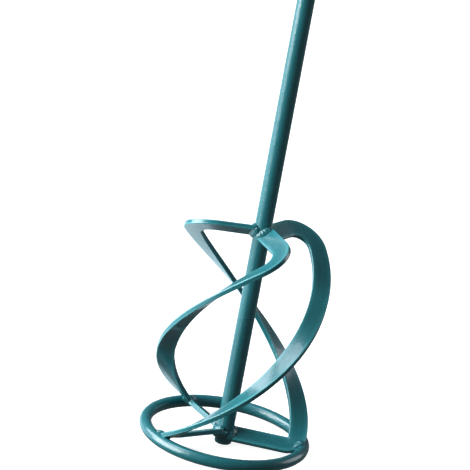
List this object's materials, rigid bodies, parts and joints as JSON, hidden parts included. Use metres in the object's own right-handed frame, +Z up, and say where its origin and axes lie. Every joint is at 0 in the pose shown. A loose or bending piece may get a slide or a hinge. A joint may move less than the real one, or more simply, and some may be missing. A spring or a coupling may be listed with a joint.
{
  "type": "mortar mixing paddle",
  "caption": "Helical mixing paddle: flat-bar blades spiral down from a long round shaft to a bottom ring, with a threaded drive end.",
  "frame": {"origin": "centre of the shaft's lower end face, which is the lowest point and the middle of the ring in plan", "axes": "+Z up the shaft towards the drive thread; +X is the direction of blade 3's bottom arm, within about 5 degrees"},
  "size_m": [0.14, 0.1403, 0.6],
  "materials": {
    "enamel": "gloss teal baked enamel",
    "bare_steel": "turned, lightly oiled steel"
  },
  "bodies": {
    "root": {"shaft": "enamel", "drive_stud": "bare_steel", "drive_weld": "enamel", "ring": "enamel", "ring_butt_weld": "enamel", "blade_1": "enamel", "blade_2": "enamel", "blade_3": "enamel", "top_weld_upper_1": "enamel", "top_weld_upper_2": "enamel", "top_weld_upper_3": "enamel", "top_weld_lower_1": "enamel", "top_weld_lower_2": "enamel", "top_weld_lower_3": "enamel", "bottom_weld_upper_1": "enamel", "bottom_weld_upper_2": "enamel", "bottom_weld_upper_3": "enamel", "bottom_weld_lower_1": "enamel", "bottom_weld_lower_2": "enamel", "bottom_weld_lower_3": "enamel", "ring_weld_upper_1": "enamel", "ring_weld_upper_2": "enamel", "ring_weld_upper_3": "enamel", "ring_weld_lower_1": "enamel", "ring_weld_lower_2": "enamel", "ring_weld_lower_3": "enamel"}
  },
  "joints": []
}
